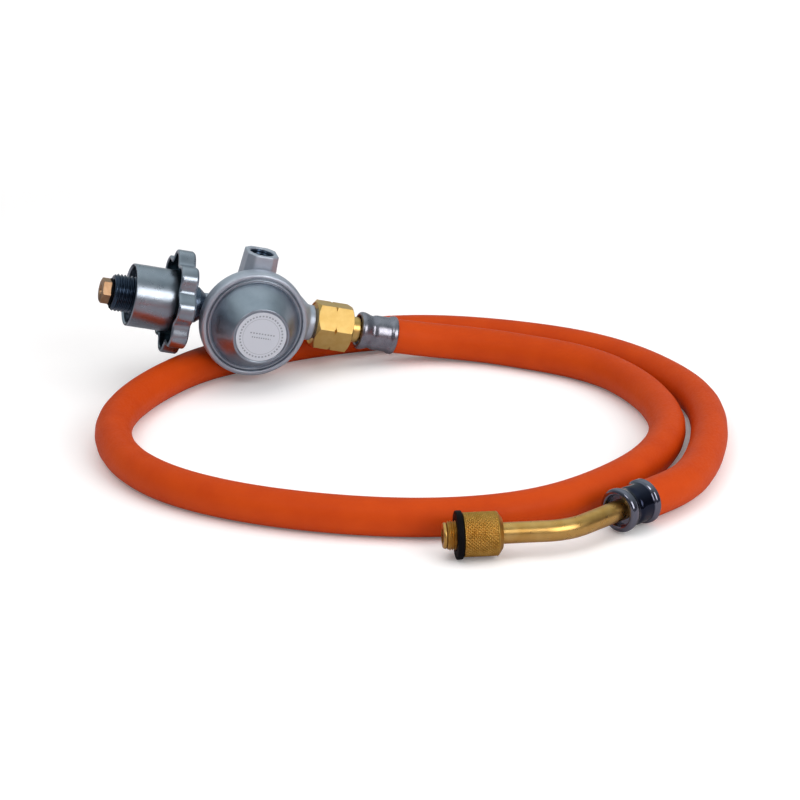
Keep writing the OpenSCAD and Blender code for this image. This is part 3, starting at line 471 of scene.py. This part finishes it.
def painted_hollow_shade():
    """1 between the handwheel's bell and the inside of its lobed rim, where painted shade darkens
    the hollow.
    """
    axes = WHEEL.axes(REGULATOR)
    angle = WHEEL.maths("ARCTAN2", WHEEL.maths("MULTIPLY", axes["Y"], -1.0), axes["Z"])
    wave = WHEEL.maths("SINE", WHEEL.maths(
        "MULTIPLY", WHEEL.maths("SUBTRACT", angle, LOBE_TURN), LOBES / 2))
    valley = WHEEL.maths(
        "MULTIPLY", WHEEL.maths("POWER", WHEEL.maths("ABSOLUTE", wave), 3.0), LOBE_H)
    radius = WHEEL.maths("ADD", WHEEL.radius(axes), valley)
    return WHEEL.maths("MULTIPLY",
                       WHEEL.between(axes["X"], WHEEL_X + 0.7, WEB_X - 1.5),
                       WHEEL.between(radius, 12.5, LOBE_R - 1.5, 0.3))


def print_on_label():
    """1 on the label's plain rings and plain dashes. There are no words."""
    axes = LABEL.axes(BONNET)
    radius = LABEL.radius(axes)

    def band(value, middle, half):
        return LABEL.maths("LESS_THAN", LABEL.away(value, middle), half)

    def dashed(value, often):
        wave = LABEL.maths("SINE", LABEL.maths("MULTIPLY", value, often))
        return LABEL.maths("GREATER_THAN", wave, -0.15)

    angle = LABEL.maths("ARCTAN2", axes["Y"], axes["Z"])
    ink = LABEL.maths("MULTIPLY", band(radius, 9.1, 0.34), dashed(angle, 40.0))
    ink = LABEL.maths("MAXIMUM", ink, band(radius, 7.9, 0.07))
    for height, half_width, often in ((1.2, 5.6, 5.0), (-0.6, 4.2, 6.3)):
        row = LABEL.maths(
            "MULTIPLY", band(axes["Z"], height, 0.3), band(axes["Y"], 0.0, half_width))
        ink = LABEL.maths("MAXIMUM", ink, LABEL.maths("MULTIPLY", row, dashed(axes["Y"], often)))
    return ink


# painted dark reflection on the end ferrule's waist
CHROME.recolour(waist(), linear(46, 50, 66))
# painted shade in the handwheel's hollow, between its bell and its rim
WHEEL.recolour(painted_hollow_shade(), linear(104, 120, 130))
LABEL.recolour(LABEL.maths("MULTIPLY", print_on_label(), 0.6), linear(70, 76, 84))


def dress(obj, finish, body="regulator", nodes=(), sharp=38):
    """Gives a piece its finish and shading, and says what it rides on and stands for."""
    obj.data.materials.clear()
    obj.data.materials.append(finish.material)
    if obj.type == "MESH":
        obj.data.polygons.foreach_set("use_smooth", [True] * len(obj.data.polygons))
        obj.data.set_sharp_from_angle(angle=math.radians(sharp))
    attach(obj, body)
    if nodes:
        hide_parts(*nodes)
    return obj


# ---------- regulator body ----------

RIM_R, RIM_X, RIM_BACK = 23.3, 16, 8.7
rim_band = turned("rim_band", [
    (RIM_BACK, 21), (RIM_BACK, RIM_R - 0.6, 0.5), (RIM_BACK + 1.5, RIM_R, 0.8),
    (RIM_X - 1, RIM_R, 1), (RIM_X + 0.1, RIM_R - 1.2, 0.8), (RIM_X - 0.1, RIM_R - 2.2),
    (RIM_X - 1, 21.8), (RIM_X - 4, 21),
], BONNET, steps=192, closed=True)
casting = recast("regulator_casting", "body_casting", rim_band, 0.35, 12)
dress(casting, ZINC, nodes=["body_casting"], sharp=180)

bonnet = turned("bonnet_shell", [
    (14.1, 21.3), (15.1, 21.3), (15.1, 20.75, 0.1), (15.3, 20.55, 0.1), (15.3, 20.4, 0.1),
    (15.95, 20.3, 0.3), (16.05, 19.5, 0.3), (15.35, 19.25, 0.25), (15.5, 18.95, 0.25),
    (29.7, 12.45, 0.5), (30.2, 12.1, 0.3), (30.2, 11.4, 0.25), (30.0, 11.15), (29.2, 11.15),
    (29.2, 8.05), (24.7, 8.05), (24.7, 9.8), (28.1, 9.8), (28.1, 11.1), (14.1, 17.6),
], BONNET, steps=192, closed=True)
dress(bonnet, SATIN_ZINC, nodes=["bonnet"], sharp=50)

PORT_X, PORT_FLOOR, PORT_R, PITCH = 28.1, 24.8, 5.2, 1.3
# The gauge port's threads are dark as painted shade inside the port.
port_threads = turned("port_threads", [
    (PORT_X - 0.7, PORT_R + 0.3), (PORT_X - 0.7, PORT_R - 0.05),
    *[(PORT_X - 0.7 - PITCH * (k / 2 + 0.5), PORT_R - (0.45 if k % 2 == 0 else 0.05))
      for k in range(4)],
    (PORT_FLOOR, PORT_R + 0.3),
], REGULATOR @ turn(-90, "Y"), closed=True)
dress(port_threads, BLACK_OXIDE_AND_PORT_SHADE, sharp=30)

# ---------- handwheel ----------


def lobed(phi, x, r):
    """How far the valleys between the lobes lie inside the radius of the lobes."""
    full = np.interp(r, [14.5, 18.5], [0, 1])
    return -full * LOBE_H * np.abs(np.sin(LOBES * (phi - LOBE_TURN) / 2)) ** 3


wheel = turned("handwheel_casting", [
    (RECESS_X, SHANK_R + 0.05), (RECESS_X, 12.1, 0.5), (MOUTH_X + 0.6, 12.1, 0.2),
    (MOUTH_X, 12.7, 0.15), (MOUTH_X, 13.1, 0.2), (MOUTH_X + 0.3, 13.4, 0.2),
    (WEB_X - 3.6, 13.4, 1.2),
    (WEB_X - 2, 15, 1.2), (WEB_X - 2, LOBE_R - 2, 0.8), (WEB_X - 3, LOBE_R - 2, 0.6),
    (WHEEL_X + 0.3, LOBE_R - 1.9, 0.2), (WHEEL_X, LOBE_R - 1.5, 0.2),
    (WHEEL_X, LOBE_R - 0.5, 0.3), (WHEEL_X + 0.5, LOBE_R, 0.5), (WEB_X - 0.8, LOBE_R, 0.8),
    (WEB_X, LOBE_R - 1, 0.8), (WEB_X, 14, 0.3), (WEB_X, SHANK_R + 0.05),
], REGULATOR, steps=384, swell=lobed, closed=True)
dress(wheel, WHEEL, "wheel", ["handwheel"], sharp=50)

# ---------- cylinder thread and tip ----------


def threaded(name, x0, x1, major, depth, pitch, chamfer, place, ends, steps=120, per_pitch=14):
    """A threaded bar along X from x0 to x1, whose remaining outline is given by ends.

    The chamfer is its place along X and its slope.
    """
    edge, slope = chamfer
    n = int(round((x1 - x0) / pitch * per_pitch))
    phi = np.linspace(0, 2 * np.pi, steps, endpoint=False)
    rows = []
    for x in np.linspace(x0, x1, n + 1):
        t = (x / pitch + phi / (2 * np.pi)) % 1
        groove = depth * np.clip(1.25 - 2.5 * np.abs(t - 0.5), 0, 1)
        radius = np.minimum(major - groove, major - depth * 1.15 + abs(x - edge) * slope)
        rows.append(np.stack([np.full(steps, x), -radius * np.sin(phi), radius * np.cos(phi)], 1))
    rest = lathe(soften(ends), steps)
    return grid_object(name, np.concatenate([np.array(rows), rest]), place, True)


SPIGOT_X, SPIGOT_BORE_R = -60.3, 4.1
spigot = threaded(
    "spigot_thread", SPIGOT_X + 0.2, RECESS_X, 8.0, 0.75, 1.5, (SPIGOT_X + 0.2, 0.8), REGULATOR,
    [(RECESS_X, SHANK_R), (WEB_X, SHANK_R), (WEB_X, SPIGOT_BORE_R),
     (SPIGOT_X, SPIGOT_BORE_R), (SPIGOT_X, 6.7)])
dress(spigot, BLACK_OXIDE_AND_PORT_SHADE, "wheel", ["threaded_spigot"], sharp=70)

TIP_X, SEAL_X = -65.0, -61.4
tip = hex_bar("inlet_tip", TIP_X, SEAL_X, 9.7, 30, REGULATOR)
cut(tip, turned("tool", [
    (TIP_X - 1, 0), (TIP_X - 1, 3.6), (TIP_X, 4.55), (TIP_X + 0.65, 6.2), (SEAL_X - 0.3, 6.2),
    (SEAL_X, 5.4), (SEAL_X + 1, 5.4), (SEAL_X + 1, 0),
], REGULATOR), "INTERSECT")
cut(tip, turned("tool", [
    (TIP_X - 1, 0), (TIP_X - 1, 2.6), (TIP_X, 2.3), (TIP_X + 0.9, 1.9), (TIP_X + 0.9, 1.05),
    (SEAL_X + 1, 1.05), (SEAL_X + 1, 0),
], REGULATOR))
bevelled(tip, 0.12)
tip_shank = turned("inlet_tip_shank", [
    (SEAL_X - 0.4, 1.02), (SEAL_X - 0.4, 2), (-54.9, 2), (-54.6, 1.7), (-54.6, 1.02),
], REGULATOR, closed=True)
dress(tip, TIP_BRASS, nodes=["brass_tip"], sharp=25)
dress(tip_shank, TIP_BRASS)

# ---------- union nut and ferrules ----------

NUT_X, NUT_END, NUT_FLATS, NUT_TURN = 29.2, 45.4, 19, 24
NUT_MID = (NUT_X + NUT_END) / 2
NUT_SHOULDER = 42.6
nut = hex_bar("union_nut_brass", NUT_X, NUT_END, NUT_FLATS, NUT_TURN, REGULATOR)
cut(nut, turned("tool", [
    (NUT_X - 1, 0), (NUT_X - 1, 8.2), (NUT_X, 9.3), (NUT_X + 0.4, 9.8), (NUT_X + 1.5, 11.2),
    (NUT_X + 1.5, 11.6), (NUT_MID - 1.1, 11.6),
    (NUT_MID, 10.15), (NUT_MID + 1.1, 11.6), (NUT_END - 1.3, 11.6), (NUT_END, 9.4),
    (NUT_END + 1, 8.2), (NUT_END + 1, 0),
], REGULATOR), "INTERSECT")
cut(nut, turned("tool", [
    (NUT_X - 1, 0), (NUT_X - 1, 9), (NUT_X, 9), (NUT_X + 0.6, 8.7), (NUT_X + 1.6, 6.6),
    (NUT_SHOULDER, 6.6), (NUT_SHOULDER, 5.7), (NUT_END - 0.3, 5.7), (NUT_END + 0.5, 6.5),
    (NUT_END + 1, 6.5), (NUT_END + 1, 0),
], REGULATOR))
bevelled(nut, 0.16)
dress(nut, BRASS, "nut", ["union_nut"], sharp=25)


def ferrule(name, x0, length, bead, mouth, waist, place):
    """A crimped ferrule from its rolled bead at x0, where it opens to the radius mouth."""
    end = x0 + length
    body, lip = 7.65, bead + 0.1

    def crimp(phi, x, r):
        near = np.exp(-((x - x0 - 6) / 1.5) ** 2)
        wide = np.exp(-((x - x0 - length * 0.68) / 3) ** 2)
        return (0.22 * near + 0.08 * wide) * (np.cos(8 * phi) - 1) / 2 if r > 7 else 0 * phi

    return turned(name, [
        (x0 + 2.6, SLIP_R), (x0 + 2.6, mouth, 0.2), (x0 + 0.9, mouth + 0.05, 0.5),
        (x0, mouth + 0.7, 0.6), (x0 + 0.5, bead - 0.3, 0.8), (x0 + 1.9, bead, 0.9),
        (x0 + 3.4, bead - 0.35, 0.9), (x0 + 4.9, waist + 0.15, 0.9), (x0 + 6.2, waist, 0.6),
        (x0 + 7.6, body, 0.7), (end - 3, body, 0.6), (end - 2.1, lip - 0.1, 0.4),
        (end - 0.5, lip, 0.4), (end, lip - 0.35, 0.2), (end, 7.58, 0.1), (end - 2.4, 7.3, 0.6),
        (end - 3.2, 6.7), (x0 + 3.6, 6.7), (x0 + 3.6, SLIP_R),
    ], place, steps=192, swell=crimp, closed=True)


outlet_ferrule = ferrule(
    "outlet_ferrule_crimped", FERRULE_X, FERRULE_L, 8.25, 6.2, 7.2, REGULATOR)
dress(outlet_ferrule, FERRULE, nodes=["outlet_ferrule"], sharp=45)
end_ferrule = ferrule(
    "end_ferrule_crimped", END_FERRULE_X, END_FERRULE_L, 8.6, 5.9, 7.3, HOSE_SIDE)
dress(end_ferrule, CHROME, nodes=["end_ferrule"], sharp=45)

# ---------- end fitting ----------

BEND_R = 25
TANGENT = BEND_R * math.tan(math.radians(BEND / 2))
SCREW_X, SCREW_END, WASHER_END, THREAD_END = 25.3, 40.2, 42.6, 45.9
NOSE_X = THREAD_END + 0.3


def bent_tube():
    """Rings of the bent tube from its flared nose, through the bend, to its barbs, and back."""
    outline = soften([
        (NOSE_X + 1.2, TUBE_BORE_R), (NOSE_X + 1.2, 4.5, 0.2), (NOSE_X + 0.8, 4.9, 0.3),
        (NOSE_X, 4.9, 0.2), (NOSE_X - 0.2, TUBE_R, 0.2), (TANGENT + 0.1, TUBE_R),
    ])
    turns = np.linspace(0, BEND, 15)
    inner_end = END_FERRULE_X + 17

    def on_bend(degrees, r):
        t = math.radians(degrees)
        return (TANGENT - BEND_R * math.sin(t), -BEND_R * (1 - math.cos(t))), degrees, r

    def on_leg(distance, r):
        t = math.radians(BEND)
        return (-distance * math.cos(t), -distance * math.sin(t)), BEND, r

    stations = [((x, 0), 0, r) for x, r in divided(outline)]  # (centre, turn, radius)
    stations += [on_bend(a, TUBE_R) for a in turns]
    stations += [on_leg(s, TUBE_R) for s in np.linspace(TANGENT + 0.1, inner_end - 0.2, 24)]
    stations += [on_leg(inner_end, TUBE_BORE_R), on_leg(TANGENT + 0.1, TUBE_BORE_R)]
    stations += [on_bend(a, TUBE_BORE_R) for a in turns[::-1]]

    phi = np.linspace(0, 2 * np.pi, 96, endpoint=False)
    rows = []
    for (x, y), degrees, r in stations:
        t = math.radians(degrees)
        rows.append(np.stack([
            x + r * np.sin(phi) * math.sin(t), y - r * np.sin(phi) * math.cos(t), r * np.cos(phi),
        ], 1))
    return grid_object("end_tube_bent", np.array(rows), FITTING, True)


end_tube = bent_tube()
dress(end_tube, TUBE_BRASS, nodes=["elbow_tube"], sharp=40)


def knurled(name, x0, x1, radius, depth, turns, place, ends):
    """A bar along X with a diamond knurl. turns is the number of crossing grooves each way."""
    steps = turns * 12
    pitch = 2 * math.pi * radius / turns
    n = int(round((x1 - x0) / pitch * 12))
    phi = np.linspace(0, 2 * np.pi, steps, endpoint=False)
    rows = []
    for x in np.linspace(x0, x1, n + 1):
        u = phi * turns / (2 * np.pi)
        v = (x - x0) / pitch
        one = np.abs((u + v) % 1 - 0.5) * 2
        two = np.abs((u - v) % 1 - 0.5) * 2
        height = np.clip(np.minimum(one, two) * 1.7, 0, 1)
        fade = np.clip(min(x - x0, x1 - x) / 0.4, 0, 1)
        r = radius - depth * (1 - height) * fade
        rows.append(np.stack([np.full(steps, x), -r * np.sin(phi), r * np.cos(phi)], 1))
    rest = lathe(soften(ends), steps)
    return grid_object(name, np.concatenate([np.array(rows), rest]), place, True)


screw = knurled("end_screw_knurled", SCREW_X + 2.0, SCREW_END - 0.5, 8.3, 0.38, 38, FITTING, [
    (SCREW_END - 0.4, 8.25), (SCREW_END, 7.9), (SCREW_END, SLIP_R), (SCREW_X, SLIP_R),
    (SCREW_X, 6.0, 0.3), (SCREW_X + 0.5, 6.6, 0.3), (SCREW_X + 1.6, 8.1, 0.3),
    (SCREW_X + 1.9, 8.3),
])
dress(screw, OLD_BRASS, "screw", ["knurled_screw"], sharp=60)
screw_thread = threaded(
    "end_screw_thread", SCREW_END - 0.2, THREAD_END - 0.1, 5.55, 0.5, 0.907,
    (THREAD_END - 0.1, 0.9), FITTING,
    [(THREAD_END, 4.7), (THREAD_END, SLIP_R), (SCREW_END - 0.4, SLIP_R), (SCREW_END - 0.4, 5.2)],
    steps=96, per_pitch=12)
dress(screw_thread, OLD_BRASS, "screw", sharp=70)
washer = turned("end_washer_moulded", [
    (SCREW_END + 0.02, 5.6), (SCREW_END + 0.02, 9.1, 0.5), (WASHER_END, 9.1, 0.5),
    (WASHER_END, 5.9, 0.3), (WASHER_END - 0.3, 5.6),
], FITTING, closed=True)
dress(washer, RUBBER, "screw", ["end_washer"], sharp=50)

# ---------- main spring ----------

spring = bpy.data.objects.new("main_spring_coil", NODES["main_spring"].data.copy())
scene.collection.objects.link(spring)
spring.data.materials.clear()
spring.data.materials.append(STEEL.material)
spring.data.polygons.foreach_set("use_smooth", [True] * len(spring.data.polygons))
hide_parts("main_spring")
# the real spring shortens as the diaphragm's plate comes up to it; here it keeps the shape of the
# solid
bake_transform(spring)

# ---------- solids that show as they are ----------

FINISHES = {
    STEEL: ["diaphragm_plate", "lever_pin"],
    # painted shade: the port plug and the inlet stem are darkened for the shade they sit in
    PAINTED_SHADE_STEEL: ["port_plug", "inlet_stem"],
    SATIN_ZINC: ["bonnet_cap"],
    LABEL: ["label_disc"],
    BLACK_PLASTIC: ["adjusting_plug"],
    BRASS: ["hose_tail", "seat_nozzle", "lever", "valve_piston", "stem_nut"],
    FILTER: ["inlet_filter"],
    RUBBER: ["diaphragm", "valve_pad", "port_seal", "stem_seal", "inlet_seal", "outlet_gasket"],
}
for finish, names in FINISHES.items():
    for name in names:
        NODES[name].data.materials.clear()
        NODES[name].data.materials.append(finish.material)

dress(hose, ORANGE, nodes=["hose"])

# ---------- floor and light ----------

AMBIENT = 0.48
LAMPS_AT = (0.05, -0.1, 0.02)  # the point that every lamp faces
FLOOR_HALF = 8
FLOOR_DROP = 0.0001
FLOOR_GLOW, FAR_GLOW = 0.11, 0.7
NEAR, FAR = 0.3, 1.1  # how far from the object the floor's glow starts to rise and stops


def nodes_of(owner):
    """The nodes of a new material or world, emptied but for its output."""
    owner.use_nodes = True
    for node in list(owner.node_tree.nodes):
        if not node.type.startswith("OUTPUT"):
            owner.node_tree.nodes.remove(node)
    return Nodes(owner.node_tree)


def sheet(name, corners, material):
    """A single face that belongs to the stage."""
    mesh = bpy.data.meshes.new(name)
    mesh.from_pydata(corners, [], [tuple(range(len(corners)))])
    mesh.materials.append(material)
    obj = bpy.data.objects.new(name, mesh)
    scene.collection.objects.link(obj)
    return obj


def plain_floor():
    """Pale paper. Reflections see it darker, as they would beyond a small sheet.

    Past the lamps' reach it glows more, so that it stays white as far as it is seen.
    """
    material = bpy.data.materials.new("floor")
    n = nodes_of(material)
    rays = n.node("LightPath").outputs
    colour = n.mixed(rays["Is Glossy Ray"], (0.95, 0.94, 0.94, 1), (0.42, 0.41, 0.44, 1))
    distance = n.node("VectorMath")
    distance.operation = "LENGTH"
    n.join(n.node("TexCoord").outputs["Object"], distance.inputs[0])
    glow = n.mapped(distance.outputs["Value"], FLOOR_GLOW, FAR_GLOW, NEAR, FAR)
    n.join(n.shaders(
        "AddShader",
        n.node("BsdfDiffuse", Color=colour).outputs[0],
        n.node("Emission", Strength=n.maths("MULTIPLY", rays["Is Camera Ray"], glow)).outputs[0],
    ), n.tree.nodes["Material Output"].inputs["Surface"])
    h = FLOOR_HALF
    floor = sheet("floor", [(-h, -h, 0), (h, -h, 0), (h, h, 0), (-h, h, 0)], material)
    floor.location.z = -FLOOR_DROP


def dark_card():
    """A dark card behind the wheel that only reflections see. It puts painted shade, as dark
    reflections, into the wheel's hollows.
    """
    x0, x1, y, z = -0.11, -0.025, 0.05, 0.03
    card = sheet("dark_card", [(x0, y, 0), (x1, y, 0), (x1, y, z), (x0, y, z)],
                 Finish("dark_card", (0.01, 0.012, 0.015, 1)).material)
    card.visible_camera = card.visible_diffuse = card.visible_shadow = False


def studio():
    """White behind the object, even light round it, and a dim room in its reflections."""
    scene.world = bpy.data.worlds.new("studio")
    n = nodes_of(scene.world)
    rays = n.node("LightPath").outputs
    way = n.node("SeparateXYZ", Vector=n.node("TexCoord").outputs["Generated"]).outputs
    room = n.node("ValToRGB", Fac=n.maths("ADD", n.maths("MULTIPLY", way["Y"], 0.45), way["Z"]))
    stops = room.color_ramp.elements
    stops[0].position, stops[0].color = 0.1, (0.1, 0.105, 0.13, 1)
    stops[1].position, stops[1].color = 1, (0.62, 0.7, 0.73, 1)
    stops.new(0.75).color = (0.34, 0.4, 0.42, 1)
    behind = n.maths("MULTIPLY", n.mapped(way["Y"], 0, 1, 0.3, 0.8),
                     n.mapped(way["Z"], 0, 1, 0.18, 0.04))
    backdrop = n.mixed(behind, room.outputs["Color"], (1, 1, 1, 1))

    def background(strength, colour=(1, 1, 1, 1)):
        return n.node("Background", Color=colour, Strength=strength).outputs[0]

    lit = n.shaders("MixShader", rays["Is Glossy Ray"], background(AMBIENT),
                    background(1, backdrop))
    seen = n.maths("MAXIMUM", rays["Is Camera Ray"], rays["Is Transmission Ray"])
    n.join(n.shaders("MixShader", seen, lit, background(1)),
           n.tree.nodes["World Output"].inputs["Surface"])


def softbox(name, azimuth, elevation, distance, size, power, mirrored=True):
    """A rectangular light that faces the object. Azimuth 0 is in front, 90 to the right."""
    data = bpy.data.lights.new(name, "AREA")
    data.shape = "RECTANGLE"
    data.size, data.size_y = size
    data.energy = power
    obj = bpy.data.objects.new(name, data)
    way = direction(azimuth, elevation)
    obj.location = Vector(LAMPS_AT) + distance * way
    obj.rotation_euler = (-way).to_track_quat("-Z", "Y").to_euler()
    obj.visible_glossy = mirrored
    scene.collection.objects.link(obj)


plain_floor()
dark_card()
studio()
softbox("key", 26, 28, 1.5, (0.9, 0.8), 8)
softbox("side", -48, 46, 1.5, (0.5, 0.4), 2.3)
softbox("overhead", 0, 88, 1.3, (1.8, 1.4), 8, mirrored=False)
softbox("fill", 70, 35, 1.4, (0.8, 0.8), 3, mirrored=False)

scene.view_settings.view_transform = "Standard"
